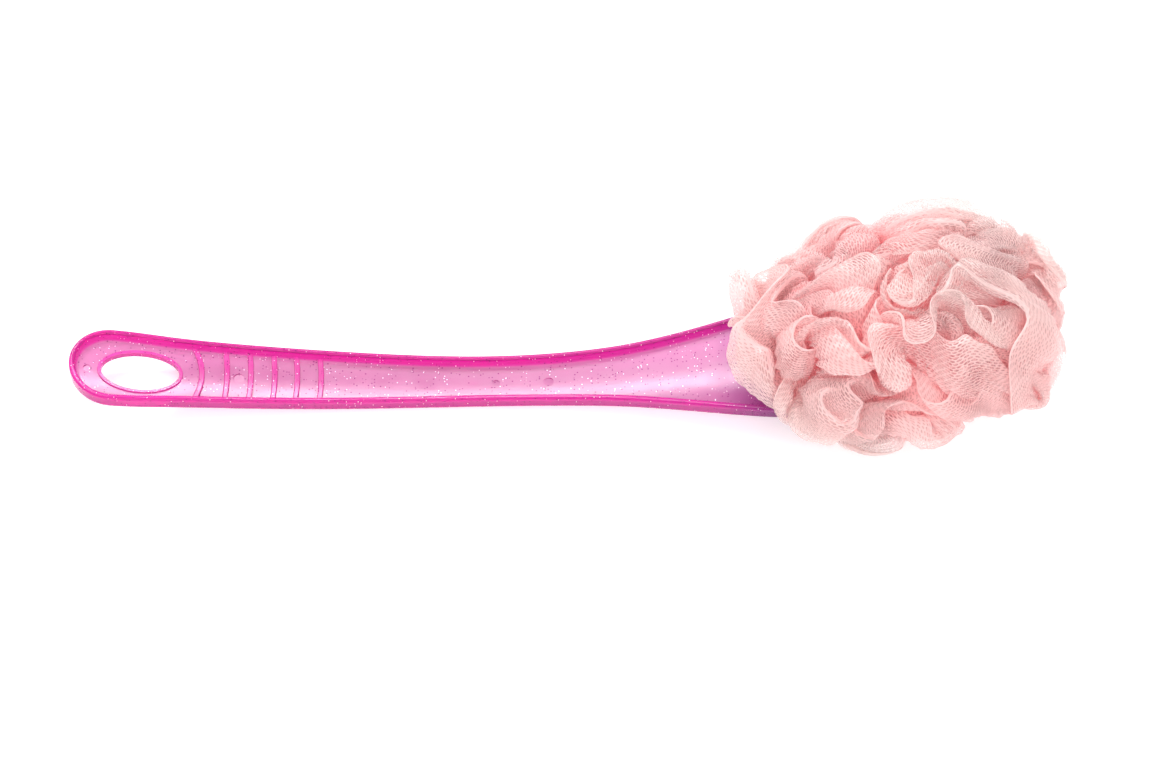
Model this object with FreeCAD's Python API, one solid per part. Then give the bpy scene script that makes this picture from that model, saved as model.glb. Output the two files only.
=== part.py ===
import FreeCAD, Part
import math

# Long-handled bath scrubber: a one-piece channel handle with a paddle head, ruffles of
# tubular netting laced on both faces of the paddle, and the tie cords that lace them.
# Millimetres, +Z up. It lies at rest on the plane z = 0, on the middle of the bowed handle
# and on the underside of the puff. The origin is under the middle of its bounding box, and
# +X runs from the hanging end to the puff. Lengths "along" are measured from the hanging end.

Vector = FreeCAD.Vector

# Overall
LENGTH = 400.0
HALF_LENGTH = LENGTH / 2

# Handle, seen from above
HANDLE_LENGTH = 384.0
END_RADIUS = 16.8
PADDLE_RADIUS = 29.0
SIDE_STATIONS = [  # distance along the handle, half width
    (40.0, 15.5),
    (72.0, 13.9),
    (112.0, 12.3),
    (165.0, 10.7),
    (198.0, 11.5),
    (221.0, 13.5),
    (240.0, 16.7),
    (260.0, 21.1),
    (285.0, 26.3),
    (318.0, 28.8),
]

# Handle, seen from the side: it touches the table at BOW_LOW and curves up both ways
BOW_LOW = 150.0
BOW_RADIUS_HANG = 920.0
BOW_RADIUS_HEAD = 600.0
BOW_STRAIGHT_FROM = 265.0
HEAD_ANGLE = math.asin((BOW_STRAIGHT_FROM - BOW_LOW) / BOW_RADIUS_HEAD)

# Channel section
RIM_HEIGHT = 6.5
RIM_WIDTH = 2.4
FLOOR = 2.0
RIM_ROUND = 1.0
UNDERSIDE_ROUND = 1.6
CORNER_ROUND = 1.5

# Hanging hole, with its raised lip
HOLE_AT = 28.0
HOLE_LENGTH = 31.0
HOLE_WIDTH = 17.6
LIP_WIDTH = 1.5
LIP_HEIGHT = 0.6
LIP_ROUND = 0.3

# Grip ribs on the channel floor
RIB_STATIONS = [52.5, 62.5, 72.0, 81.5, 90.5, 100.0]
RIB_WIDTH = 2.2
RIB_HEIGHT = 1.0
RIB_ROUND = 0.4
FIRST_RIB_CURVE = 26.0
OTHER_RIB_CURVE = 90.0

# Round marks left in the floor by the mould's ejector pins: distance along, diameter
EJECTOR_MARKS = [(6.9, 3.0), (67.2, 4.4), (170.0, 3.0), (191.0, 4.0)]
EJECTOR_DEPTH = 0.3

# Lacing holes and tie cords
LACING_STATIONS = [302.0, 323.0, 344.0, 365.0]
LACING_HALF_GAP = 8.0
LACING_HOLE_RADIUS = 2.5
CORD_RADIUS = 0.9
TIE_HALF_HEIGHT = 4.4
KNOT_RADIUS = 2.2
KNOT_LENGTH = 5.0
KNOT_ROUND = 0.8
TAIL_LENGTH = 9.0
TAIL_SPREAD = 24.0

# Puff of netting round the paddle
PUFF_HALF_LENGTH = 66.5
PUFF_HALF_WIDTH = 54.0
PUFF_HALF_HEIGHT = 42.0
PUFF_AXIS_HEIGHT = 41.0
NECK_RUFFLE_END = 299.0
TIP_RUFFLE_START = 367.0
CLEARANCE = 0.4
FRONT_SEAM_LEAN = 28.0
BACK_VALLEY_HALF = 3.2

BIG = 500.0


def along(distance):
    """The x of a point this far from the hanging end."""
    return distance - HALF_LENGTH


def bow_height(distance):
    """Height of the handle's underside this far from the hanging end."""
    if distance < BOW_LOW:
        return BOW_RADIUS_HANG - math.sqrt(BOW_RADIUS_HANG ** 2 - (distance - BOW_LOW) ** 2)
    if distance < BOW_STRAIGHT_FROM:
        return BOW_RADIUS_HEAD - math.sqrt(BOW_RADIUS_HEAD ** 2 - (distance - BOW_LOW) ** 2)
    start = BOW_RADIUS_HEAD * (1 - math.cos(HEAD_ANGLE))
    return start + (distance - BOW_STRAIGHT_FROM) * math.tan(HEAD_ANGLE)


def outline(inset):
    """Face of the handle's plan outline, moved inwards by inset."""
    left = along(END_RADIUS)
    right = along(HANDLE_LENGTH - PADDLE_RADIUS)
    small = END_RADIUS - inset
    large = PADDLE_RADIUS - inset
    points = [Vector(left, small, 0)]
    points += [Vector(along(x), half - inset, 0) for x, half in SIDE_STATIONS]
    points.append(Vector(right, large, 0))
    forward = Vector(1, 0, 0)
    upper = Part.BSplineCurve()
    upper.interpolate(Points=points, InitialTangent=forward, FinalTangent=forward)
    lower = Part.BSplineCurve()
    mirrored = [Vector(p.x, -p.y, 0) for p in points]
    lower.interpolate(Points=mirrored, InitialTangent=forward, FinalTangent=forward)
    tip = Part.Arc(points[-1], Vector(right + large, 0, 0), mirrored[-1])
    end = Part.Arc(mirrored[0], Vector(left - small, 0, 0), points[0])
    wire = Part.Wire([upper.toShape(), tip.toShape(), lower.toShape(), end.toShape()])
    return Part.Face(wire)


def prism(face):
    """The face made into a tall upright solid through the whole model."""
    tall = face.copy()
    tall.translate(Vector(0, 0, -BIG / 2))
    return tall.extrude(Vector(0, 0, BIG))


def band(low, high):
    """Slab that follows the handle's bow, between two heights above its underside."""
    past = 30.0
    hang = BOW_RADIUS_HANG
    head = BOW_RADIUS_HEAD
    hang_turn = math.asin((BOW_LOW + past) / hang)
    run = (HANDLE_LENGTH + past - BOW_STRAIGHT_FROM) / math.cos(HEAD_ANGLE)

    def curve(offset):
        def on_hang(turn):
            r = hang - offset
            return Vector(along(BOW_LOW) - r * math.sin(turn), 0, hang - r * math.cos(turn))

        def on_head(turn):
            r = head - offset
            return Vector(along(BOW_LOW) + r * math.sin(turn), 0, head - r * math.cos(turn))

        far = on_head(HEAD_ANGLE)
        tip = far + Vector(math.cos(HEAD_ANGLE), 0, math.sin(HEAD_ANGLE)) * run
        return [
            Part.Arc(on_hang(hang_turn), on_hang(hang_turn / 2), on_hang(0)),
            Part.Arc(on_head(0), on_head(HEAD_ANGLE / 2), far),
            Part.LineSegment(far, tip),
        ]

    below = curve(low)
    above = curve(high)
    edges = [piece.toShape() for piece in below + above]
    edges.append(Part.LineSegment(below[0].StartPoint, above[0].StartPoint).toShape())
    edges.append(Part.LineSegment(below[2].EndPoint, above[2].EndPoint).toShape())
    side = Part.Face(Part.Wire(Part.__sortEdges__(edges)))
    side.translate(Vector(0, -BIG / 2, 0))
    return side.extrude(Vector(0, BIG, 0))


def round_edges(solid, height, radius, keep=lambda point: True):
    """Fillets the edges that run at this height above the handle's underside."""
    chosen = []
    for edge in solid.Edges:
        middle = edge.valueAt((edge.FirstParameter + edge.LastParameter) / 2)
        ends = [vertex.Point for vertex in edge.Vertexes]
        gaps = [abs(height_above_bow(point) - height) for point in [middle] + ends]
        if max(gaps) < 0.05 and keep(middle):
            chosen.append(edge)
    return solid.makeFillet(radius, chosen)


def height_above_bow(point):
    """Distance of a point from the handle's underside surface, square to it."""
    x = point.x + HALF_LENGTH
    if x < BOW_LOW:
        return BOW_RADIUS_HANG - math.hypot(x - BOW_LOW, BOW_RADIUS_HANG - point.z)
    from_centre = Vector(x - BOW_LOW, 0, point.z - BOW_RADIUS_HEAD)
    turn = math.atan2(from_centre.x, -from_centre.z)
    if turn < HEAD_ANGLE:
        return BOW_RADIUS_HEAD - from_centre.Length
    normal = Vector(math.sin(HEAD_ANGLE), 0, -math.cos(HEAD_ANGLE))
    return BOW_RADIUS_HEAD - from_centre.dot(normal)


def ellipse_face(length, width, centre_x):
    curve = Part.Ellipse(Vector(centre_x, 0, 0), length / 2, width / 2)
    return Part.Face(Part.Wire(curve.toShape()))


def rib_face(station, curve_radius):
    """Plan of one cross rib: a curved strip that bulges towards the head."""
    centre = Vector(along(station) - curve_radius, 0, 0)
    outer = Part.Face(Part.Wire(Part.makeCircle(curve_radius + RIB_WIDTH / 2, centre)))
    inner = Part.Face(Part.Wire(Part.makeCircle(curve_radius - RIB_WIDTH / 2, centre)))
    ring = outer.cut(inner)
    size = (curve_radius + RIB_WIDTH, 2 * PADDLE_RADIUS, 2)
    head_side = Part.makeBox(*size, Vector(centre.x, -PADDLE_RADIUS, -1))
    return ring.common(head_side).Faces[0]


def head_place(station, height=0.0, side=0.0):
    """Placement on the paddle: local z is square to it, and height is above its floor's middle."""
    turn = FreeCAD.Rotation(Vector(0, 1, 0), -math.degrees(HEAD_ANGLE))
    base = Vector(along(station), side, bow_height(station))
    normal = turn.multVec(Vector(0, 0, 1))
    return FreeCAD.Placement(base + normal * (FLOOR / 2 + height), turn)


def channel_body(grow=0.0):
    """The handle's moulding with no holes or ribs, made bigger all round by grow."""
    body = prism(outline(-grow)).common(band(-grow, RIM_HEIGHT + grow))
    hollow = prism(outline(RIM_WIDTH + grow)).common(band(FLOOR + grow, RIM_HEIGHT + BIG / 10))
    return body.cut(hollow)


def make_handle():
    inner = prism(outline(RIM_WIDTH))
    body = channel_body()
    body = round_edges(body, RIM_HEIGHT, RIM_ROUND)
    body = round_edges(body, 0.0, UNDERSIDE_ROUND)
    body = round_edges(body, FLOOR, CORNER_ROUND)

    lip_top = FLOOR + LIP_HEIGHT
    lip_face = ellipse_face(HOLE_LENGTH + 2 * LIP_WIDTH, HOLE_WIDTH + 2 * LIP_WIDTH, along(HOLE_AT))
    lip = prism(lip_face).common(band(FLOOR / 2, lip_top))
    hole = prism(ellipse_face(HOLE_LENGTH, HOLE_WIDTH, along(HOLE_AT)))
    body = body.fuse(lip).cut(hole)
    body = round_edges(body, lip_top, LIP_ROUND)
    body = round_edges(body, 0.0, LIP_ROUND, lambda p: abs(p.y) < HOLE_WIDTH / 2 + 0.1
                       and abs(p.x - along(HOLE_AT)) < HOLE_LENGTH / 2 + 0.1)

    for number, station in enumerate(RIB_STATIONS):
        curve = OTHER_RIB_CURVE if number else FIRST_RIB_CURVE
        rib = prism(rib_face(station, curve)).common(band(FLOOR / 2, FLOOR + RIB_HEIGHT))
        rib = round_edges(rib, FLOOR + RIB_HEIGHT, RIB_ROUND)
        body = body.fuse(rib.common(inner))

    for station, diameter in EJECTOR_MARKS:
        base = Vector(along(station), 0, bow_height(station) + FLOOR - EJECTOR_DEPTH)
        body = body.cut(Part.makeCylinder(diameter / 2, RIM_HEIGHT, base))

    for station in LACING_STATIONS:
        for side in (-LACING_HALF_GAP, LACING_HALF_GAP):
            drill = Part.makeCylinder(LACING_HOLE_RADIUS, 4 * FLOOR, Vector(0, 0, -2 * FLOOR))
            drill.Placement = head_place(station, 0.0, side)
            body = body.cut(drill)
    return body


def tie_ring(cord_radius):
    """The tie's loop through its two holes: straight over and under, round at both ends."""
    reach = LACING_HALF_GAP - TIE_HALF_HEIGHT
    along_x = Vector(1, 0, 0)
    across = Vector(0, 1, 0)
    solids = []
    for level in (-TIE_HALF_HEIGHT, TIE_HALF_HEIGHT):
        solids.append(Part.makeCylinder(cord_radius, 2 * reach, Vector(0, -reach, level), across))
    for side in (-reach, reach):
        bend = Part.makeTorus(TIE_HALF_HEIGHT, cord_radius, Vector(0, side, 0), along_x)
        corner = Vector(-BIG / 2, side if side > 0 else side - BIG, -BIG / 2)
        solids.append(bend.common(Part.makeBox(BIG, BIG, BIG, corner)))
    return solids[0].multiFuse(solids[1:])


def tie_knot(grow=0.0):
    """Barrel knot round the run under the paddle, and its two cut tails."""
    across = Vector(0, 1, 0)
    start = Vector(0, -KNOT_LENGTH / 2 - grow, -TIE_HALF_HEIGHT)
    knot = Part.makeCylinder(KNOT_RADIUS + grow, KNOT_LENGTH + 2 * grow, start, across)
    knot = knot.makeFillet(KNOT_ROUND, knot.Edges)
    for sign in (-1, 1):
        lean = math.radians(TAIL_SPREAD) * sign
        way = Vector(math.sin(lean), 0, -math.cos(lean))
        root = Vector(0, sign * KNOT_LENGTH / 5, -TIE_HALF_HEIGHT)
        knot = knot.fuse(Part.makeCylinder(CORD_RADIUS + grow, TAIL_LENGTH, root, way))
    return knot


def make_tie(station):
    tie = tie_ring(CORD_RADIUS).fuse(tie_knot())
    tie.Placement = head_place(station)
    return tie


def puff_solid():
    """The whole puff's outer shape, flat where it rests on the table."""
    stretch = FreeCAD.Matrix()
    stretch.A11 = PUFF_HALF_LENGTH
    stretch.A22 = PUFF_HALF_WIDTH
    stretch.A33 = PUFF_HALF_HEIGHT
    puff = Part.makeSphere(1.0).transformGeometry(stretch)
    puff.translate(Vector(HALF_LENGTH - PUFF_HALF_LENGTH, 0, PUFF_AXIS_HEIGHT))
    above_table = Part.makeBox(BIG, BIG, BIG, Vector(-BIG / 2, -BIG / 2, 0))
    return puff.common(above_table)


def slice_box(x_low, x_high, y_low=-BIG, y_high=BIG):
    size = (x_high - x_low, y_high - y_low, BIG)
    return Part.makeBox(*size, Vector(x_low, y_low, -BIG / 2))


def side_of_seam(side, gap):
    """Block on one side of the seam between the two front ruffles. The seam stands on the
    paddle's long axis and leans to the near side. The side is 1 for far and -1 for near."""
    y_low = gap if side > 0 else -BIG - gap
    block = Part.makeBox(BIG, BIG, BIG, Vector(-BIG / 2, y_low, -BIG / 2))
    lean = FreeCAD.Rotation(Vector(1, 0, 0), FRONT_SEAM_LEAN)
    middle = (NECK_RUFFLE_END + TIP_RUFFLE_START) / 2
    block.Placement = head_place(middle).multiply(FreeCAD.Placement(Vector(0, 0, 0), lean))
    return block


def make_netting():
    """Ruffle name to its solid: the puff cut up, clear of the handle and of the ties."""
    gap = CLEARANCE / 2
    seam = FLOOR / 2
    puff = puff_solid().cut(channel_body(CLEARANCE))
    for station in LACING_STATIONS:
        clear = tie_ring(CORD_RADIUS + CLEARANCE).fuse(tie_knot(CLEARANCE))
        clear.Placement = head_place(station)
        puff = puff.cut(clear)
    front = puff.common(band(seam + gap, BIG / 5))
    back = puff.common(band(-BIG / 5, seam - gap))
    neck = along(NECK_RUFFLE_END)
    tip = along(TIP_RUFFLE_START)
    middle = front.common(slice_box(neck + gap, tip - gap))
    return {
        "netting_neck": front.common(slice_box(-BIG, neck - gap)),
        "netting_front_far": middle.common(side_of_seam(1, gap)),
        "netting_front_near": middle.common(side_of_seam(-1, gap)),
        "netting_tip": front.common(slice_box(tip + gap, BIG)),
        "netting_back_far": back.common(slice_box(-BIG, BIG, BACK_VALLEY_HALF, BIG)),
        "netting_back_near": back.common(slice_box(-BIG, BIG, -BIG, -BACK_VALLEY_HALF)),
    }


def save(name, shape):
    """Writes the shape's one large solid. Cutting can leave slivers beside it."""
    solid = max(shape.Solids, key=lambda each: each.Volume)
    solid.exportStep("parts/" + name + ".step")
    box = solid.BoundBox
    print(name, "valid", solid.isValid(), "slivers", len(shape.Solids) - 1)
    print("   cm3", round(solid.Volume / 1000, 2), "x", round(box.XMin, 1), round(box.XMax, 1))
    print("   y", round(box.YMin, 1), round(box.YMax, 1), "z", round(box.ZMin, 2), round(box.ZMax, 2))


save("handle", make_handle())
for name, solid in make_netting().items():
    save(name, solid)
for number, station in enumerate(LACING_STATIONS, start=1):
    save("tie_" + str(number), make_tie(station))
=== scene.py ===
import math
import bpy
import numpy as np
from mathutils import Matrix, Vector


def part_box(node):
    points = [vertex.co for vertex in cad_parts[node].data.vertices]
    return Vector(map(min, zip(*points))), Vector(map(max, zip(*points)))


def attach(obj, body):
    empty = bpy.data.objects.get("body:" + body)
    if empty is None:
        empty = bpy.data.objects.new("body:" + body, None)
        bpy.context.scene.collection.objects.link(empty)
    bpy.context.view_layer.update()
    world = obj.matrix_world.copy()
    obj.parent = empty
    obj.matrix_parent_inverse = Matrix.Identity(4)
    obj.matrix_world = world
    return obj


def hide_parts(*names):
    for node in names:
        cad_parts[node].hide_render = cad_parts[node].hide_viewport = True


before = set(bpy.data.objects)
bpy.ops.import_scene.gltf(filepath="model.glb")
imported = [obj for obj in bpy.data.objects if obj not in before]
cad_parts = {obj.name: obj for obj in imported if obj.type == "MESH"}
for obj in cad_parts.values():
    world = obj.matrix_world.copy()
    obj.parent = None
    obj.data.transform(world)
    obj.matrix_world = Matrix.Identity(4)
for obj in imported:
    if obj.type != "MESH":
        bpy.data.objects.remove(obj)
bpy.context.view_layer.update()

# ---------------------------------------------------------------- sizes, in metres
PUFF_NODES = ("netting_neck", "netting_front_far", "netting_front_near",
              "netting_tip", "netting_back_far", "netting_back_near")
# Rounded to 0.1 mm, so that the layout of the folds doesn't hang on the box's last digits
puff_low = np.round(np.min([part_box(name)[0] for name in PUFF_NODES], axis=0), 4)
puff_high = np.round(np.max([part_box(name)[1] for name in PUFF_NODES], axis=0), 4)
PUFF_MIDDLE = (puff_low + puff_high) / 2
PUFF_HALF = (puff_high - puff_low) / 2
PUFF_START = float(puff_low[0])

# The handle that the netting stays clear of. The bow is the CAD source's own. The rim is taken
# 1.5 mm higher and 0.4 mm wider, and the outline near the neck is up to 0.7 mm narrower
HALF_LENGTH = 0.200
BOW_LOW = 0.150 - HALF_LENGTH
BOW_RADIUS_HANG = 0.920
BOW_RADIUS = 0.600
STRAIGHT_FROM = 0.265 - HALF_LENGTH
HEAD_ANGLE = math.asin((STRAIGHT_FROM - BOW_LOW) / BOW_RADIUS)
FLOOR_THICK = 0.002
RIM_HEIGHT = 0.008
RIM_WIDTH = 0.0028
PADDLE_STATIONS = (0.221, 0.240, 0.260, 0.285, 0.318, 0.355, 0.370, 0.378, 0.384)
PADDLE_HALVES = (0.0128, 0.0162, 0.0209, 0.0263, 0.0288, 0.0290, 0.0248, 0.0177, 0.0)
LACING = (0.302 - HALF_LENGTH, 0.365 - HALF_LENGTH)

# The netting as a grid of points: columns go along a ruffle, rows go out from its laced edge
STEP_ALONG = 0.0030
STEP_OUT = 0.0031
EDGE_SLACK = 1.4        # cut length, as a share of the free edge's path before it settles
WAVE_DEPTH = 0.9        # how unevenly that path goes to and fro
LAYER_RADIUS = 0.0015   # half the room that a ruffle takes up, and how much more its tube's open
OPEN_RADIUS = 0.0024    # stretches take
OPEN_SHOWN = 1.7        # how far an open tube's layers stand apart, as a share of that extra room
FLAT_HALF = 0.00045     # half the thickness of a flat tube
FOLD_TURNS = (45, 90, 135)
REACH_SPREAD = 0.11     # how unevenly the folds reach the puff's outer shape
EDGE_SAMPLES = 3000     # samples of the free edge's path, and over how many its lean changes
FLOP_STEP = 150
NOD_STEP = 170
NOD = 0.3               # how far the edge leans along the paddle at random, in radians
OPENING_STEP = 12       # columns over which the tube opens and closes, and the reach changes
REACH_STEP = 10
ROOT_LIFT = 0.0035      # from the paddle's floor or underside to the laced edge

# The front ruffles part along this line round the paddle, and flop away from it
PARTING = math.radians(118)
PARTING_SPAN = math.radians(75)

# How the ruffles settle. The cloth may crowd together near its laced edge, up to CROWDED_TO of
# the way out. Links over several steps keep the folds round, and the contacts keep layers apart
CLOTH_GIVE = 0.9        # how much of a stretch is taken back in one step
CROWD_GIVE = 0.5
CROWDED_TO = 0.35
BEND_ALONG = 6          # steps that the long links span, their least length and their strength
BEND_ALONG_LEAST = 0.8
BEND_ALONG_GIVE = 0.3
BEND_FROM = 0.4
BEND_OUT = 4
BEND_OUT_LEAST = 0.92
BEND_OUT_GIVE = 0.25
CONTACT_GIVE = 0.4
CONTACT_MARGIN = 0.0016
CONTACTS_EVERY = 6
SAME_CLOTH = 3          # grid steps within which cloth isn't in contact with itself
SPEED_KEPT = 0.85
LONGEST_MOVE = 0.002
TIGHT_AFTER = 0.7       # share of the steps after which the puff has its final size
START_SWELL = 0.3
SWELL_GAIN = 0.7
START_ROOM = 1.45
ROOM_LOSS = 0.45
HANDLE_SKIN = 0.0014
FLOOR_SQUASH = 0.8
FLOOR_GAP = 0.0004
SETTLED_PLACES = 7      # kept to 0.1 micrometre, so that tiny rounding errors can't grow
TINY = 1e-12
SMALLEST_GAP = 1e-9

# Finishing of the settled sheets: pleats fill the rows up to PLEATED_TO of the way out, and get
# shallower from there as if they ended at PLEATS_END
SOFTEN_PASSES = 2
FINER_ALONG = 2
FINER_OUT = 1.5
NORMAL_PASSES = 4
PLEAT_PATTERN = (0, 1, 0, -1)
PLEATED_TO = 0.65
PLEATS_END = 1.1
PLEAT_LEAST = 0.95


def unit(vectors):
    """The vectors at length 1."""
    return vectors / np.maximum(np.linalg.norm(vectors, axis=-1, keepdims=True), TINY)


# ---------------------------------------------------------------- the paddle as an obstacle
def underside(x):
    """Height of the handle's underside at x, right of where it touches the table."""
    x = np.asarray(x, dtype=float)
    on_arc = x < STRAIGHT_FROM
    reach = np.clip(x - BOW_LOW, -BOW_RADIUS * 0.9, BOW_RADIUS * 0.9)
    arc = BOW_RADIUS - np.sqrt(BOW_RADIUS ** 2 - reach ** 2)
    start = BOW_RADIUS * (1 - math.cos(HEAD_ANGLE))
    line = start + (x - STRAIGHT_FROM) * math.tan(HEAD_ANGLE)
    return np.where(on_arc, arc, line)


def half_width(x):
    """Half the paddle's width at x, or less than none past its tip."""
    return np.interp(x + HALF_LENGTH, PADDLE_STATIONS, PADDLE_HALVES, right=-1.0)


def keep_off_handle(points, skin):
    """Moves points out of the paddle's floor and rim, by the shorter way."""
    half = half_width(points[:, 0])
    side = np.abs(points[:, 1])
    lift = (points[:, 2] - underside(points[:, 0])) * math.cos(HEAD_ANGLE)
    in_plan = side < half + skin
    on_rim = in_plan & (side > half - RIM_WIDTH - skin)
    top = np.where(on_rim, RIM_HEIGHT, FLOOR_THICK) + skin
    inside = in_plan & (lift < top) & (lift > -skin)
    if not inside.any():
        return
    up = top - lift
    down = lift + skin
    out = half + skin - side
    go_out = inside & on_rim & (out < np.minimum(up, down))
    go_up = inside & ~go_out & (up < down)
    go_down = inside & ~go_out & ~go_up
    normal = np.array([-math.sin(HEAD_ANGLE), 0.0, math.cos(HEAD_ANGLE)])
    points[go_up] += up[go_up, None] * normal
    points[go_down] -= down[go_down, None] * normal
    points[go_out, 1] += out[go_out] * np.sign(points[go_out, 1])


# ---------------------------------------------------------------- the puff's outer shape
VIEW_ELEVATION = math.radians(55)
VIEW_UP = np.array([0.0, math.sin(VIEW_ELEVATION), math.cos(VIEW_ELEVATION)])

# Lobes and dents of the outer shape. The first two numbers are its direction in degrees: the
# angle round the outline as the camera sees it, and the lean towards the camera. The others are
# how far it stands out, or in where negative, and its width in degrees
LOBES = (
    (78, 0, 0.00, 13), (65, 10, -0.10, 10), (52, 5, 0.04, 13), (31, 0, 0.13, 15),
    (8, 0, -0.03, 15), (-20, 0, 0.01, 14), (-46, 5, 0.06, 12), (-72, 12, -0.16, 13),
    (-74, -18, -0.12, 14), (-92, 10, -0.06, 11), (-108, 0, 0.02, 12), (-134, 3, 0.16, 15),
    (-152, 0, 0.02, 12), (-170, 12, -0.12, 12), (178, 5, 0.02, 10), (157, 0, 0.10, 12),
    (134, 0, -0.18, 15), (132, 26, -0.16, 16), (132, -26, -0.14, 16),
    (108, 0, -0.15, 14), (108, 26, -0.12, 15), (108, -26, -0.10, 15),
    (100, 58, 0.06, 14), (20, 55, 0.05, 16), (-60, 50, 0.05, 16), (190, 50, 0.04, 15),
)


def lobe_direction(angle, lean):
    """The unit vector at this angle round the outline, leaning this far towards the camera."""
    across = np.array([1.0, 0.0, 0.0])
    towards = np.cross(across, VIEW_UP)
    ring = math.cos(math.radians(angle)) * across + math.sin(math.radians(angle)) * VIEW_UP
    way = math.cos(math.radians(lean)) * ring + math.sin(math.radians(lean)) * towards
    return way / np.linalg.norm(way)


LOBE_WAYS = np.array([lobe_direction(angle, lean) for angle, lean, _, _ in LOBES])
LOBE_RISE = np.array([rise for _, _, rise, _ in LOBES])
LOBE_TIGHT = np.array([1 / (1 - math.cos(math.radians(width))) for _, _, _, width in LOBES])


def outer_limit(ways):
    """How far the puff reaches in each direction, as a share of its plain ellipsoid."""
    near = np.exp(LOBE_TIGHT * (np.einsum("ij,kj->ik", ways, LOBE_WAYS) - 1))
    return 1 + np.einsum("ij,j->i", near, LOBE_RISE)


def keep_inside(points, scale):
    """Moves points back inside the puff's outer shape, made larger by each point's scale."""
    local = (points - PUFF_MIDDLE) / PUFF_HALF
    size = np.linalg.norm(local, axis=1)
    ways = local / np.maximum(size, SMALLEST_GAP)[:, None]
    limit = outer_limit(ways) * scale
    out = size > limit
    points[out] = PUFF_MIDDLE + ways[out] * limit[out, None] * PUFF_HALF


# ---------------------------------------------------------------- ruffles
def smooth_noise(rng, count, step, passes=3):
    """Smooth random numbers, about -1 to 1, that change over about step samples."""
    knots = rng.standard_normal(count // step + 4)
    line = np.interp(np.arange(count), np.arange(len(knots)) * step, knots)
    kernel = np.ones(max(step // 2, 1)) / max(step // 2, 1)
    for _ in range(passes):
        line = np.convolve(np.pad(line, len(kernel), mode="edge"), kernel, "same")
        line = line[len(kernel):-len(kernel)]
    return line


def head_frame():
    """The paddle's directions: towards its tip, towards its far side, and out of its face."""
    turn = HEAD_ANGLE
    return (np.array([math.cos(turn), 0, math.sin(turn)]), np.array([0.0, 1.0, 0.0]),
            np.array([-math.sin(turn), 0, math.cos(turn)]))


def direction(lean, around):
    """Unit vectors that lean towards the tip by lean, and point around the paddle's long axis."""
    forward, sideways, up = head_frame()
    flat = np.cos(lean)
    return (np.sin(lean)[:, None] * forward + (flat * np.cos(around))[:, None] * sideways
            + (flat * np.sin(around))[:, None] * up)


def zigzag(turns, count):
    """A rounded to-and-fro wave from -1 to 1 with this many sweeps."""
    phase = np.linspace(0, turns, count)
    swing = 2 * np.abs(phase % 2 - 1) - 1
    return np.sin(swing * math.pi / 2) * 0.35 + swing * 0.65


def start_ruffle(spec, rng):
    """The strip before it settles: lines fanning out from its gathered edge.
    Its free edge sweeps to and fro, so that it covers its part of the puff."""
    rows = int(round(spec["width"] / STEP_OUT)) + 1
    fine = EDGE_SAMPLES
    sweeps = spec["sweeps"]
    wave = zigzag(sweeps, fine)
    across = 0.5 + 0.47 * wave * (1 - 0.2 * np.abs(smooth_noise(rng, fine, fine // sweeps)))
    meander = WAVE_DEPTH * smooth_noise(rng, fine, fine // (sweeps * spec["waves"]), 2)
    advance = np.linspace(0, 1, fine) + meander / sweeps
    shares = (advance, across) if spec["sweep"] == "around" else (across, advance)
    lean_share, around_share = shares
    lean = np.radians(np.interp(lean_share, (0, 1), spec["lean"]))
    around = np.radians(np.interp(around_share, (0, 1), spec["around"]))
    parting = np.clip((around - PARTING) / PARTING_SPAN, -1, 1)
    flop = spec["flop"] * (parting + 0.5 * smooth_noise(rng, fine, FLOP_STEP))
    nod = NOD * smooth_noise(rng, fine, NOD_STEP)
    root = root_line(spec, lean_share, around_share)
    edge = root + direction(lean, around) * spec["width"]
    length = np.concatenate([[0], np.cumsum(np.linalg.norm(np.diff(edge, axis=0), axis=1))])
    count = int(length[-1] * EDGE_SLACK / STEP_ALONG) + 1
    pick = np.interp(np.linspace(0, length[-1], count), length, np.arange(fine))
    root, ways = [np.stack([np.interp(pick, np.arange(fine), v) for v in table], 1)
                  for table in (root.T, (lean, around, flop, nod))]
    lean, around, flop, nod = ways.T
    grid = np.empty((count, rows, 3))
    grid[:, 0] = root
    for row in range(1, rows):
        share = (row / (rows - 1)) ** 1.5
        grid[:, row] = grid[:, row - 1] + STEP_OUT * direction(lean + nod * share,
                                                               around + flop * share)
    opening = np.clip(1.2 * smooth_noise(rng, count, OPENING_STEP) + 0.05, 0, 1) * spec["open"]
    share = np.linspace(0, 1, rows)
    flat = LAYER_RADIUS * np.clip(share * 1.6, 0.12, 1.0)
    opened = opening[:, None] * OPEN_RADIUS * share[None, :] ** 2.5
    reach = spec["reach"] + REACH_SPREAD * smooth_noise(rng, count, REACH_STEP)
    return {"name": spec["name"], "grid": grid, "radius": flat[None, :] + opened,
            "opened": opened, "reach": reach}


def root_line(spec, lean_share, around_share):
    """Where the ruffle is laced down on the paddle."""
    x = np.interp(lean_share, (0, 1), spec["root_x"])
    y = np.interp(around_share, (0, 1), spec["root_y"])
    level = FLOOR_THICK + ROOT_LIFT if spec["side"] > 0 else -ROOT_LIFT
    z = underside(x) + level / math.cos(HEAD_ANGLE)
    return np.stack([x, y, z], axis=1)


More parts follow.
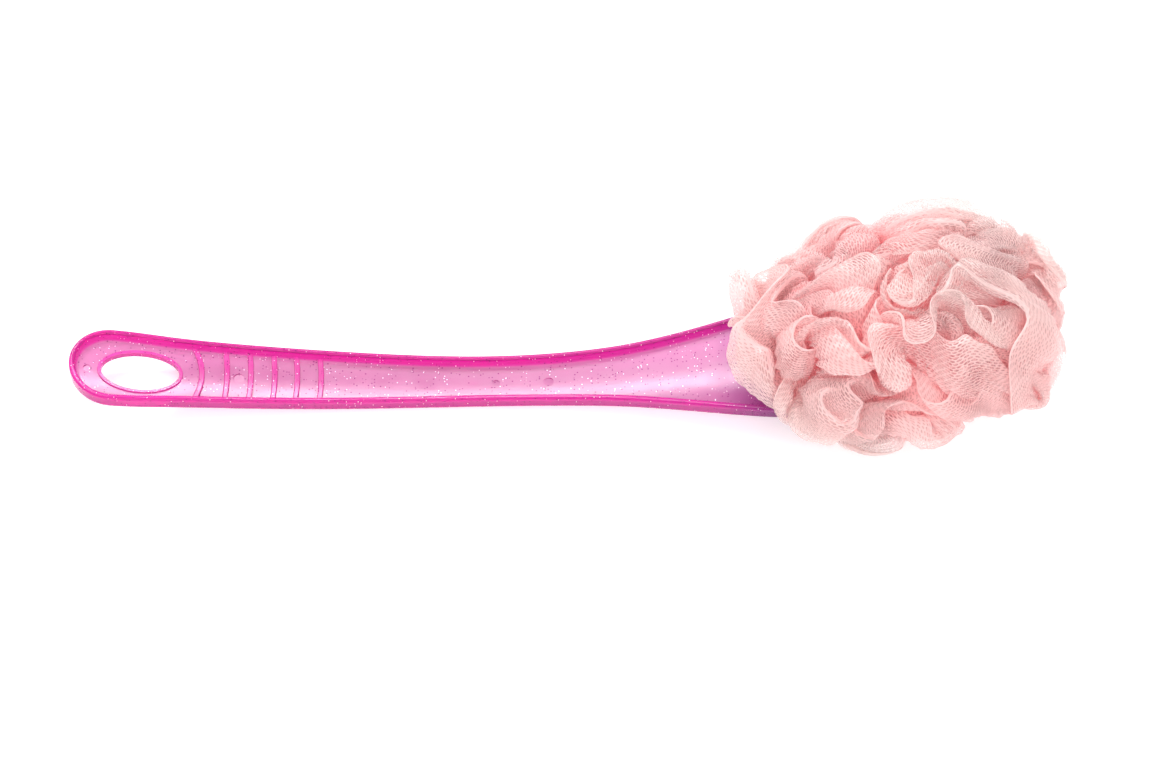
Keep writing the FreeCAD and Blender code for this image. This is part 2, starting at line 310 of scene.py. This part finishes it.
# Each ruffle: its flat width, how often its free edge sweeps across its part of the puff and
# which way, how many random bends a sweep has, which face of the paddle it is on, the part of
# the puff that it covers (degrees of lean towards the tip, and round the paddle's long axis),
# where it is laced down, how far it reaches, how open its tube is, and how far it flops over
RUFFLES = (
    {"name": "netting_front_far", "width": 0.078, "sweeps": 10, "sweep": "lean", "waves": 2,
     "side": 1, "lean": (-36, 34), "around": (-14, 120), "root_x": LACING,
     "root_y": (0.012, 0.001), "reach": 0.92, "open": 1.0, "flop": -0.5},
    {"name": "netting_front_near", "width": 0.070, "sweeps": 9, "sweep": "lean", "waves": 3,
     "side": 1, "lean": (-36, 34), "around": (108, 192), "root_x": LACING,
     "root_y": (-0.001, -0.012), "reach": 0.89, "open": 0.8, "flop": 0.0},
    {"name": "netting_tip", "width": 0.064, "sweeps": 4, "sweep": "around", "waves": 6, "side": 1,
     "lean": (36, 84), "around": (-25, 205), "root_x": (0.168, 0.168), "root_y": (0.010, -0.010),
     "reach": 0.92, "open": 1.0, "flop": 0.2},
    {"name": "netting_neck", "width": 0.060, "sweeps": 4, "sweep": "around", "waves": 6,
     "side": 1, "lean": (-84, -38), "around": (-15, 195), "root_x": (0.099, 0.099),
     "root_y": (0.010, -0.010), "reach": 0.91, "open": 1.0, "flop": 0.2},
    {"name": "netting_back_far", "width": 0.052, "sweeps": 4, "sweep": "lean", "waves": 5,
     "side": -1, "lean": (-60, 60), "around": (-84, -16), "root_x": LACING,
     "root_y": (0.004, 0.010), "reach": 0.92, "open": 0.8, "flop": 0.2},
    {"name": "netting_back_near", "width": 0.052, "sweeps": 4, "sweep": "lean", "waves": 5,
     "side": -1, "lean": (-60, 60), "around": (196, 264), "root_x": LACING,
     "root_y": (-0.010, -0.004), "reach": 0.92, "open": 0.8, "flop": 0.2},
)


# A cell and half of the cells round it, so that each pair of cells is searched once
HALF_NEIGHBOURS = [(0, 0, 0)] + [
    (dx, dy, dz) for dx in (-1, 0, 1) for dy in (-1, 0, 1) for dz in (-1, 0, 1)
    if (dx, dy, dz) > (0, 0, 0)]


def close_pairs(points, reach, strip, column, row):
    """Index pairs of points nearer than reach that aren't neighbours in the same cloth."""
    cell = np.floor((points - points.min(axis=0)) / reach).astype(np.int64) + 1
    size = cell.max(axis=0) + 2
    key = (cell[:, 0] * size[1] + cell[:, 1]) * size[2] + cell[:, 2]
    order = np.argsort(key, kind="stable")
    ranked = key[order]
    number = np.arange(len(points))
    firsts, seconds = [], []
    for dx, dy, dz in HALF_NEIGHBOURS:
        wanted = ranked + (dx * size[1] + dy) * size[2] + dz
        if (dx, dy, dz) == (0, 0, 0):
            low = number + 1
        else:
            low = np.searchsorted(ranked, wanted, "left")
        high = np.searchsorted(ranked, wanted, "right")
        many = np.maximum(high - low, 0)
        first = np.repeat(number, many)
        within = np.arange(many.sum()) - np.repeat(np.cumsum(many) - many, many)
        second = np.repeat(low, many) + within
        firsts.append(order[first])
        seconds.append(order[second])
    first = np.concatenate(firsts)
    second = np.concatenate(seconds)
    gap = points[first] - points[second]
    near = np.einsum("ij,ij->i", gap, gap) < reach * reach
    first, second = first[near], second[near]
    related = ((strip[first] == strip[second])
               & (np.abs(column[first] - column[second]) <= SAME_CLOTH)
               & (np.abs(row[first] - row[second]) <= SAME_CLOTH))
    return first[~related], second[~related]


def pull(grid, axis, step, rest, give_in, give_out):
    """Moves cloth points step apart along one grid axis towards their rest distance.
    give_in and give_out are how much of a squeeze and of a stretch is taken back."""
    count = grid.shape[axis]
    for phase in range(2):
        starts = np.arange(count - step)
        starts = starts[(starts // step) % 2 == phase]
        if len(starts) == 0:
            continue
        if axis == 0:
            a, b = grid[starts], grid[starts + step]
            low, high = give_in[None, :], give_out[None, :]
        else:
            a, b = grid[:, starts], grid[:, starts + step]
            low, high = give_in[starts][None, :], give_out[starts][None, :]
        line = b - a
        size = np.sqrt(np.einsum("ijk,ijk->ij", line, line)) + TINY
        error = (size - rest) / size
        share = np.where(error > 0, high, low) * 0.5
        move = (error * share)[:, :, None] * line
        if axis == 0:
            grid[starts] += move
            grid[starts + step] -= move
        else:
            grid[:, starts] += move
            grid[:, starts + step] -= move


def hold_cloth(view):
    """One round of taking back what a ruffle's cloth was squeezed, stretched and bent."""
    rows = view.shape[1]
    out = np.linspace(0, 1, rows)
    firm = np.full(rows, CLOTH_GIVE)
    free = np.zeros(rows)
    pull(view, 0, 1, STEP_ALONG, CROWD_GIVE * np.clip(out - CROWDED_TO, 0, 1), firm)
    pull(view, 1, 1, STEP_OUT, firm, firm)
    pull(view, 0, BEND_ALONG, BEND_ALONG * STEP_ALONG * BEND_ALONG_LEAST,
         BEND_ALONG_GIVE * np.clip(out - BEND_FROM, 0, 1), free)
    pull(view, 1, BEND_OUT, BEND_OUT * STEP_OUT * BEND_OUT_LEAST,
         np.full(rows, BEND_OUT_GIVE), free)


def settle(ruffles, steps):
    """Lets the ruffles fill out and pack together inside the puff's outer shape."""
    sizes = [ruffle["grid"].shape[:2] for ruffle in ruffles]
    strip = np.concatenate([np.full(n * m, k) for k, (n, m) in enumerate(sizes)])
    column = np.concatenate([np.repeat(np.arange(n), m) for n, m in sizes])
    row = np.concatenate([np.tile(np.arange(m), n) for n, m in sizes])
    radius = np.concatenate([ruffle["radius"].ravel() for ruffle in ruffles])
    reach = np.concatenate([np.repeat(r["reach"], m) for r, (n, m) in zip(ruffles, sizes)])
    points = np.concatenate([ruffle["grid"].reshape(-1, 3) for ruffle in ruffles])
    ends = np.cumsum([0] + [n * m for n, m in sizes])
    views = [points[ends[k]:ends[k + 1]].reshape(n, m, 3) for k, (n, m) in enumerate(sizes)]
    roots = [view[:, :2].copy() for view in views]
    before = points.copy()
    for step in range(steps):
        tighten = min(step / steps / TIGHT_AFTER, 1.0)
        swell = START_SWELL + SWELL_GAIN * tighten
        moved = (points - before) * SPEED_KEPT
        before = points.copy()
        points += np.clip(moved, -LONGEST_MOVE, LONGEST_MOVE)
        for view in views:
            hold_cloth(view)
        if step % CONTACTS_EVERY == 0:
            widest = 2 * radius.max() * swell + 0.001
            first, second = close_pairs(points, widest, strip, column, row)
            want = (radius[first] + radius[second]) * swell
            start = points[first] - points[second]
            near = np.einsum("ij,ij->i", start, start) < (want + CONTACT_MARGIN) ** 2
            first, second, want = first[near], second[near], want[near]
        gap = points[first] - points[second]
        size = np.sqrt(np.einsum("ij,ij->i", gap, gap)) + SMALLEST_GAP
        deep = np.clip(want - size, 0, None) * CONTACT_GIVE
        push = gap * (deep / size)[:, None]
        for axis in range(3):
            points[:, axis] += np.bincount(first, push[:, axis], len(points))
            points[:, axis] -= np.bincount(second, push[:, axis], len(points))
        keep_inside(points, reach * (START_ROOM - ROOM_LOSS * tighten))
        keep_off_handle(points, HANDLE_SKIN)
        np.maximum(points[:, 2], radius * FLOOR_SQUASH + FLOOR_GAP, out=points[:, 2])
        for view, root in zip(views, roots):
            view[:, :2] = root
        np.round(points, SETTLED_PLACES, out=points)
    for ruffle, view in zip(ruffles, views):
        ruffle["grid"] = view.copy()


def soften(grid, passes):
    """Evens out small kinks in a settled sheet."""
    for _ in range(passes):
        along = grid.copy()
        along[1:-1] = (grid[:-2] + 2 * grid[1:-1] + grid[2:]) / 4
        across = along.copy()
        across[:, 2:-1] = (along[:, 1:-2] + 2 * along[:, 2:-1] + along[:, 3:]) / 4
        grid = across
    return grid


def finer(values, factor):
    """Smooth resampling of a table's rows, with about factor times as many of them."""
    count = len(values)
    wanted = int((count - 1) * factor) + 1
    place = np.linspace(0, count - 1, wanted)
    start = np.minimum(place.astype(int), count - 2)
    share = (place - start).reshape((-1,) + (1,) * (values.ndim - 1))
    before = values[np.maximum(start - 1, 0)]
    first = values[start]
    second = values[start + 1]
    after = values[np.minimum(start + 2, count - 1)]
    slope_in = (second - before) / 2
    slope_out = (after - first) / 2
    bend = 3 * (second - first) - 2 * slope_in - slope_out
    twist = 2 * (first - second) + slope_in + slope_out
    return first + share * (slope_in + share * (bend + share * twist))


def smooth_normals(grid):
    """The sheet's unit normals, evened out along it."""
    normal = unit(np.cross(np.gradient(grid, axis=0), np.gradient(grid, axis=1)))
    for _ in range(NORMAL_PASSES):
        padded = np.concatenate([normal[:1], normal, normal[-1:]])
        normal = unit(padded[:-2] + 2 * padded[1:-1] + padded[2:])
    return normal


def add_pleats(grid, normal, step, rng):
    """Folds the sheet to and fro towards its laced edge. The settled sheet's columns crowd
    together there, and the folds take up most of the cloth between them."""
    columns, rows = grid.shape[:2]
    crowded = np.linalg.norm(np.gradient(grid, axis=0), axis=2)
    depth = np.sqrt(np.clip(step ** 2 - crowded ** 2, 0, None))
    out = np.linspace(0, 1, rows)
    fade = np.clip((PLEATS_END - out) / (PLEATS_END - PLEATED_TO), 0, 1)
    pattern = np.resize(PLEAT_PATTERN, columns) * rng.uniform(PLEAT_LEAST, 1.0, columns)
    return grid + normal * (pattern[:, None] * fade * depth)[:, :, None]


def new_piece(name, vertices, faces, corners):
    """A smooth mesh of four-sided faces, with the map "knit" from each face corner's place."""
    mesh = bpy.data.meshes.new(name)
    mesh.vertices.add(len(vertices))
    mesh.vertices.foreach_set("co", vertices.astype(np.float32).ravel())
    mesh.loops.add(faces.size)
    mesh.loops.foreach_set("vertex_index", faces.astype(np.int32).ravel())
    mesh.polygons.add(len(faces))
    mesh.polygons.foreach_set("loop_start", np.arange(0, faces.size, 4, dtype=np.int32))
    mesh.polygons.foreach_set("loop_total", np.full(len(faces), 4, dtype=np.int32))
    layer = mesh.uv_layers.new(name="knit")
    layer.data.foreach_set("uv", corners.astype(np.float32).ravel())
    mesh.polygons.foreach_set("use_smooth", np.ones(len(faces), dtype=bool))
    mesh.update(calc_edges=True)
    mesh.validate()
    piece = bpy.data.objects.new(name, mesh)
    bpy.context.collection.objects.link(piece)
    return piece


def tube_mesh(name, grid, opened, rng):
    """The flat tube of netting round a settled sheet: two layers joined by rounded folds."""
    grid = finer(grid, FINER_ALONG)
    grid = np.swapaxes(finer(np.swapaxes(grid, 0, 1), FINER_OUT), 0, 1)
    opened = finer(opened, FINER_ALONG)
    opened = np.maximum(finer(opened.T, FINER_OUT).T, 0)
    columns, rows = grid.shape[:2]
    step = STEP_ALONG / FINER_ALONG
    normal = smooth_normals(grid)
    grid = add_pleats(grid, normal, step, rng)
    half = FLAT_HALF + OPEN_SHOWN * opened
    tip_way = unit(grid[:, -1] - grid[:, -2])
    fold = half[:, -1:]
    rings = [grid[:, j] + normal[:, j] * half[:, j:j + 1] for j in range(rows)]
    for turn in FOLD_TURNS:
        angle = math.radians(turn)
        rings.append(grid[:, -1] + normal[:, -1] * fold * math.cos(angle)
                     + tip_way * fold * math.sin(angle))
    rings += [grid[:, j] - normal[:, j] * half[:, j:j + 1] for j in range(rows - 1, -1, -1)]
    around = len(rings)
    vertices = np.stack(rings, axis=1)
    steps = np.linalg.norm(np.diff(vertices, axis=1, append=vertices[:, :1]), axis=2)
    metric = np.concatenate([np.zeros((columns, 1)), np.cumsum(steps, axis=1)], axis=1)
    metric -= (metric[:, rows - 1] + metric[:, rows + len(FOLD_TURNS)])[:, None] / 2
    vertices = vertices.reshape(-1, 3)
    i = np.arange(columns - 1)[:, None]
    j = np.arange(around)[None, :]
    after = (j + 1) % around
    faces = np.stack([i * around + j, i * around + after,
                      (i + 1) * around + after, (i + 1) * around + j], axis=-1).reshape(-1, 4)
    u = np.broadcast_to(i * step, (columns - 1, around))
    corners = np.stack([np.stack([u, metric[:-1, :-1]], -1), np.stack([u, metric[:-1, 1:]], -1),
                        np.stack([u + step, metric[1:, 1:]], -1),
                        np.stack([u + step, metric[1:, :-1]], -1)], axis=2).reshape(-1, 2)
    return new_piece(name, vertices, faces, corners)


# ---------------------------------------------------------------- materials
class Shader:
    """A material's node tree, with short calls to add and join nodes."""

    def __init__(self, name):
        self.material = bpy.data.materials.new(name)
        self.material.use_nodes = True
        self.tree = self.material.node_tree
        self.tree.nodes.clear()
        self.out = self.tree.nodes.new("ShaderNodeOutputMaterial")

    def add(self, kind, inputs=(), **settings):
        node = self.tree.nodes.new("ShaderNode" + kind)
        for key, value in settings.items():
            setattr(node, key, value)
        for key, value in dict(inputs).items():
            self.put(node.inputs[key], value)
        return node

    def put(self, socket, value):
        """Sets a socket to a number or colour, or joins another node's output to it."""
        if isinstance(value, bpy.types.NodeSocket):
            self.tree.links.new(value, socket)
        else:
            socket.default_value = value

    def math(self, operation, *values, clamp=False):
        node = self.tree.nodes.new("ShaderNodeMath")
        node.operation = operation
        node.use_clamp = clamp
        for socket, value in zip(node.inputs, values):
            self.put(socket, value)
        return node.outputs[0]

    def ramp(self, value, low, high, from_low=0.0, from_high=1.0):
        """The value mapped from one range to another, and held at its ends."""
        node = self.add("MapRange", {"Value": value, "From Min": from_low, "From Max": from_high,
                                     "To Min": low, "To Max": high})
        return node.outputs["Result"]

    def mix_colour(self, share, first, second):
        node = self.tree.nodes.new("ShaderNodeMix")
        node.data_type = "RGBA"
        self.put(node.inputs["Factor"], share)
        self.put([s for s in node.inputs if s.name == "A" and s.type == "RGBA"][0], first)
        self.put([s for s in node.inputs if s.name == "B" and s.type == "RGBA"][0], second)
        return [s for s in node.outputs if s.type == "RGBA"][0]


def netting_material():
    """Knitted nylon netting: see-through meshes in rows, soft translucent pink thread, with
    painted shade and a painted glow that deepen its pink towards the puff's inside.
    In the map "knit", x runs along the tube and y across it, in metres from its outer fold."""
    s = Shader("netting")
    uv = s.add("UVMap", uv_map="knit").outputs["UV"]
    place = s.add("TexCoord").outputs["Object"]
    stretch = s.add("TexNoise", {"Vector": place, "Scale": 40.0, "Detail": 2.0}).outputs["Fac"]
    parts = s.add("SeparateXYZ", {"Vector": uv})
    wander = s.add("TexNoise", {"Vector": uv, "Scale": 150.0, "Detail": 1.0}).outputs["Fac"]
    u = s.math("MULTIPLY_ADD", wander, 0.0012, parts.outputs["X"])
    v = s.math("MULTIPLY_ADD", wander, 0.0006, parts.outputs["Y"])
    wale = 0.00115      # a mesh's width across the tube, and its length along it
    course = 0.0032
    row = s.math("DIVIDE", v, wale)
    row_number = s.math("FLOOR", row)
    along = s.math("ADD", s.math("DIVIDE", u, course), s.math("MULTIPLY", row_number, 0.5))
    cell = s.math("FRACT", along)
    across = s.math("FRACT", row)
    number = s.add("CombineXYZ", {"X": s.math("FLOOR", along), "Y": row_number})
    luck = s.add("TexWhiteNoise", {"Vector": number.outputs[0]}).outputs["Value"]
    long_way = s.math("ABSOLUTE", s.math("SUBTRACT", cell, 0.5))
    short_way = s.math("ABSOLUTE", s.math("SUBTRACT", across, 0.5))
    reach = s.math("ADD", s.math("POWER", s.math("DIVIDE", long_way, 0.44), 2.0),
                   s.math("POWER", s.math("DIVIDE", short_way, 0.38), 2.0))
    open_share = s.math("MULTIPLY_ADD", luck, 0.45, s.ramp(stretch, 0.25, 1.35, 0.36, 0.64))
    hole = s.math("MULTIPLY", s.math("SUBTRACT", open_share, reach), 2.2, clamp=True)
    fold = s.math("ABSOLUTE", parts.outputs["Y"])
    crease = s.ramp(fold, 1.0, 0.0, 0.0002, 0.0016)
    openness = s.math("MULTIPLY", hole, s.math("SUBTRACT", 1.0, crease))
    mesh_cover = s.math("SUBTRACT", 0.74, s.math("MULTIPLY", openness, 0.62))
    cover = s.math("ADD", mesh_cover, s.math("MULTIPLY", crease, 0.16))
    # Painted shade: the thread goes from pale at the puff's outer shell to deep coral towards its
    # inside, where the folds lie in shade, with random tone from noise on top
    from_middle = s.add("VectorMath", {0: place, 1: tuple(PUFF_MIDDLE)}, operation="SUBTRACT")
    in_puff = s.add("VectorMath", {0: from_middle.outputs[0], 1: tuple(PUFF_HALF)},
                    operation="DIVIDE")
    depth = s.add("VectorMath", {0: in_puff.outputs[0]}, operation="LENGTH").outputs["Value"]
    outer = s.ramp(depth, 0.0, 1.0, 0.55, 1.05)
    tone = s.add("TexNoise", {"Vector": place, "Scale": 22.0, "Detail": 3.0}).outputs["Fac"]
    tone_and_painted_shade = s.math("MULTIPLY_ADD", s.ramp(tone, -0.15, 0.15, 0.35, 0.65), 1.0, outer, clamp=True)
    thread = s.mix_colour(tone_and_painted_shade, (1.0, 0.61, 0.63, 1), (1.0, 0.85, 0.83, 1))
    bump = s.add("Bump", {"Height": hole, "Strength": 0.6, "Distance": 0.0004})
    diffuse = s.add("BsdfDiffuse", {"Color": thread, "Roughness": 0.6,
                                    "Normal": bump.outputs["Normal"]})
    through = s.add("BsdfTranslucent", {"Color": thread, "Normal": bump.outputs["Normal"]})
    cloth = s.add("MixShader", {0: 0.45, 1: diffuse.outputs[0], 2: through.outputs[0]})
    gloss = s.add("BsdfGlossy", {"Color": (1, 0.95, 0.94, 1), "Roughness": 0.35,
                                 "Normal": bump.outputs["Normal"]})
    shine = s.add("MixShader", {0: 0.08, 1: cloth.outputs[0], 2: gloss.outputs[0]})
    # Painted glow: a pink emission on the cloth, stronger towards the puff's inside where the
    # painted shade is deeper
    glow = s.add("Emission", {"Color": (1.0, 0.32, 0.36, 1),
                              "Strength": s.ramp(tone_and_painted_shade, 0.10, 0.03)})
    deep = s.add("AddShader", {0: shine.outputs[0], 1: glow.outputs[0]})
    clear = s.add("BsdfTransparent")
    whole = s.add("MixShader", {0: cover, 1: clear.outputs[0], 2: deep.outputs[0]})
    s.put(s.out.inputs["Surface"], whole.outputs[0])
    return s.material


def height_over_floor(s, place):
    """Shader nodes for the height above the handle's bowed underside."""
    parts = s.add("SeparateXYZ", {"Vector": place})
    along = s.math("SUBTRACT", parts.outputs["X"], BOW_LOW)
    total = parts.outputs["Z"]
    for radius, low, high in ((BOW_RADIUS_HANG, -1.0, 0.0),
                              (BOW_RADIUS, 0.0, STRAIGHT_FROM - BOW_LOW)):
        reach = s.math("MINIMUM", s.math("MAXIMUM", along, low), high)
        chord = s.math("SUBTRACT", radius ** 2, s.math("MULTIPLY", reach, reach))
        total = s.math("ADD", s.math("SUBTRACT", total, radius), s.math("SQRT", chord))
    past = s.math("MAXIMUM", s.math("SUBTRACT", along, STRAIGHT_FROM - BOW_LOW), 0.0)
    return s.math("SUBTRACT", total, s.math("MULTIPLY", past, math.tan(HEAD_ANGLE)))


def handle_material():
    """Translucent hot-pink moulding with glitter: deep colour in the rim, paler in the floor,
    with a painted shadow towards and under the puff.
    """
    s = Shader("handle_plastic")
    coordinates = s.add("TexCoord")
    place = coordinates.outputs["Object"]
    lift = height_over_floor(s, place)
    upright = s.add("SeparateXYZ", {"Vector": coordinates.outputs["Normal"]}).outputs["Z"]
    wall = s.ramp(s.math("ABSOLUTE", upright), 1.0, 0.0, 0.35, 0.75)
    high = s.ramp(lift, 0.0, 1.0, 0.0030, 0.0052)
    rib = s.ramp(lift, 0.0, 0.8, 0.0021, 0.0026)
    rim = s.math("MAXIMUM", s.math("MAXIMUM", s.math("MULTIPLY", wall, 0.85), high), rib)
    cells = s.add("TexVoronoi", {"Vector": place, "Scale": 850.0, "Randomness": 1.0})
    pick = s.add("SeparateColor", {"Color": cells.outputs["Color"]})
    small = s.ramp(cells.outputs["Distance"], 1.0, 0.0, 0.11, 0.19)
    wide = s.ramp(cells.outputs["Distance"], 1.0, 0.0, 0.20, 0.30)
    bright = s.math("GREATER_THAN", pick.outputs["Red"], 0.72)
    dark = s.math("LESS_THAN", pick.outputs["Red"], 0.30)
    flake = s.math("MULTIPLY", s.math("MULTIPLY", small, bright), 0.6)
    speck = s.math("MULTIPLY", s.math("MULTIPLY", wide, dark), 0.9)
    cloud = s.add("TexNoise", {"Vector": place, "Scale": 28.0, "Detail": 3.0}).outputs["Fac"]
    pale = s.mix_colour(s.ramp(cloud, 0.0, 1.0, 0.3, 0.7), (0.73, 0.25, 0.54, 1),
                        (0.79, 0.32, 0.60, 1))
    body = s.mix_colour(rim, pale, (0.97, 0.02, 0.52, 1))
    spots = s.add("SeparateXYZ", {"Vector": place}).outputs
    # Painted shadow: the colour darkens to deep purple towards the puff and more under it, where
    # the puff shades the handle
    painted_shadow_by_puff = s.ramp(spots["X"], 0.0, 0.2, PUFF_START - 0.090, PUFF_START - 0.010)
    painted_shadow_under_puff = s.ramp(spots["X"], 0.0, 0.8, PUFF_START - 0.010, PUFF_START + 0.012)
    body = s.mix_colour(s.math("ADD", painted_shadow_by_puff, painted_shadow_under_puff), body, (0.42, 0.03, 0.34, 1))
    dish = s.math("MULTIPLY", s.math("MULTIPLY", spots["Y"], spots["Y"]), 4.0)
    grain = s.add("TexNoise", {"Vector": place, "Scale": 140.0, "Detail": 3.0}).outputs["Fac"]
    surface = s.math("MULTIPLY_ADD", grain, 0.00002, dish)
    bump = s.add("Bump", {"Height": surface, "Strength": 1.0, "Distance": 1.0})
    rough = s.ramp(grain, 0.13, 0.21, 0.3, 0.7)
    plastic = s.add("BsdfPrincipled", {
        "Base Color": body, "Roughness": rough, "IOR": 1.46,
        "Transmission Weight": 0.62, "Normal": bump.outputs["Normal"]})
    glint = s.add("BsdfPrincipled", {"Base Color": (1.0, 0.95, 0.98, 1), "Metallic": 0.5,
                                     "Roughness": 0.3, "Emission Color": (1, 0.92, 0.97, 1),
                                     "Emission Strength": 0.2})
    shadow = s.add("BsdfDiffuse", {"Color": (0.16, 0.015, 0.11, 1)})
    mixed = s.add("MixShader", {0: flake, 1: plastic.outputs[0], 2: glint.outputs[0]})
    both = s.add("MixShader", {0: speck, 1: mixed.outputs[0], 2: shadow.outputs[0]})
    depth = s.add("VolumeAbsorption", {"Color": (0.93, 0.12, 0.62, 1), "Density": 200.0})
    s.put(s.out.inputs["Surface"], both.outputs[0])
    s.put(s.out.inputs["Volume"], depth.outputs[0])
    return s.material


def cord_material():
    """Twisted pink nylon cord."""
    s = Shader("tie_cord")
    place = s.add("TexCoord").outputs["Object"]
    twist = s.add("TexWave", {"Vector": place, "Scale": 900.0, "Distortion": 2.0})
    colour = s.mix_colour(twist.outputs["Fac"], (0.82, 0.36, 0.42, 1), (0.95, 0.62, 0.64, 1))
    bump = s.add("Bump", {"Height": twist.outputs["Fac"], "Strength": 0.6, "Distance": 0.0003})
    body = s.add("BsdfPrincipled", {"Base Color": colour, "Roughness": 0.55,
                                    "Normal": bump.outputs["Normal"], "Sheen Weight": 0.4})
    s.put(s.out.inputs["Surface"], body.outputs[0])
    return s.material


def floor_material():
    """A near-white table that is lit as evenly as a photographic one."""
    s = Shader("floor")
    place = s.add("TexCoord").outputs["Object"]
    grain = s.add("TexNoise", {"Vector": place, "Scale": 6.0, "Detail": 2.0}).outputs["Fac"]
    colour = s.mix_colour(grain, (0.93, 0.93, 0.935, 1), (0.95, 0.95, 0.95, 1))
    body = s.add("BsdfDiffuse", {"Color": colour, "Roughness": 1.0})
    glow = s.add("Emission", {"Color": (1, 1, 1, 1), "Strength": 0.40})
    lit = s.add("AddShader", {0: body.outputs[0], 1: glow.outputs[0]})
    s.put(s.out.inputs["Surface"], lit.outputs[0])
    return s.material


# ---------------------------------------------------------------- the pieces
SETTLE_STEPS = 240
netting = netting_material()
rng = np.random.default_rng(11)
ruffles = [start_ruffle(spec, rng) for spec in RUFFLES]
settle(ruffles, SETTLE_STEPS)
for spec, ruffle in zip(RUFFLES, ruffles):
    name = spec["name"]
    sheet = soften(ruffle["grid"], SOFTEN_PASSES)
    piece = tube_mesh(name.replace("netting", "ruffle"), sheet, ruffle["opened"], rng)
    piece.data.materials.append(netting)
    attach(piece, "root")
    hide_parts(name)

for name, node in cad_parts.items():
    material = None
    if name == "handle":
        material = handle_material()
    elif name.startswith("tie_"):
        material = cord_material()
    if material:
        for material_slot in node.material_slots:
            material_slot.material = material

# ---------------------------------------------------------------- floor, light, camera
FLOOR_SIZE = 60.0
FLOOR_LEVEL = -0.0005
bpy.ops.mesh.primitive_plane_add(size=FLOOR_SIZE, location=(0, 0, FLOOR_LEVEL))
floor = bpy.context.object
floor.name = "floor"
floor.data.materials.append(floor_material())


def area_light(name, place, aim, size, power):
    data = bpy.data.lights.new(name, "AREA")
    data.shape = "ELLIPSE"
    data.size, data.size_y = size
    data.energy = power
    lamp = bpy.data.objects.new(name, data)
    bpy.context.collection.objects.link(lamp)
    lamp.location = place
    lamp.rotation_euler = (Vector(aim) - Vector(place)).to_track_quat("-Z", "Y").to_euler()


area_light("key", (-0.5, 0.5, 1.5), (0.05, 0, 0), (1.2, 1.2), 15)
area_light("front", (0.4, -1.3, 1.2), (0.05, 0, 0), (1.4, 1.4), 8.5)
area_light("strip", (-0.1, 0.98, 1.13), (0, 0, 0), (1.3, 0.15), 9)

world = bpy.data.worlds.new("studio")
world.use_nodes = True
world.node_tree.nodes["Background"].inputs["Color"].default_value = (1.0, 0.995, 0.99, 1)
world.node_tree.nodes["Background"].inputs["Strength"].default_value = 0.64
bpy.context.scene.world = world
bpy.context.scene.view_settings.view_transform = "Standard"

FRAME_WIDTH = 0.4612
CAMERA_DISTANCE = 2.20
SENSOR = 36.0
target = Vector((0.0022, -0.0015, 0.004))
toward = Vector((0, -math.cos(VIEW_ELEVATION), math.sin(VIEW_ELEVATION)))
camera_data = bpy.data.cameras.new("camera")
camera_data.sensor_width = SENSOR
camera_data.lens = SENSOR * CAMERA_DISTANCE / FRAME_WIDTH
camera_data.clip_start = 0.01
camera = bpy.data.objects.new("camera", camera_data)
bpy.context.collection.objects.link(camera)
camera.location = target + toward * CAMERA_DISTANCE
camera.rotation_euler = (-toward).to_track_quat("-Z", "Y").to_euler()
bpy.context.scene.camera = camera
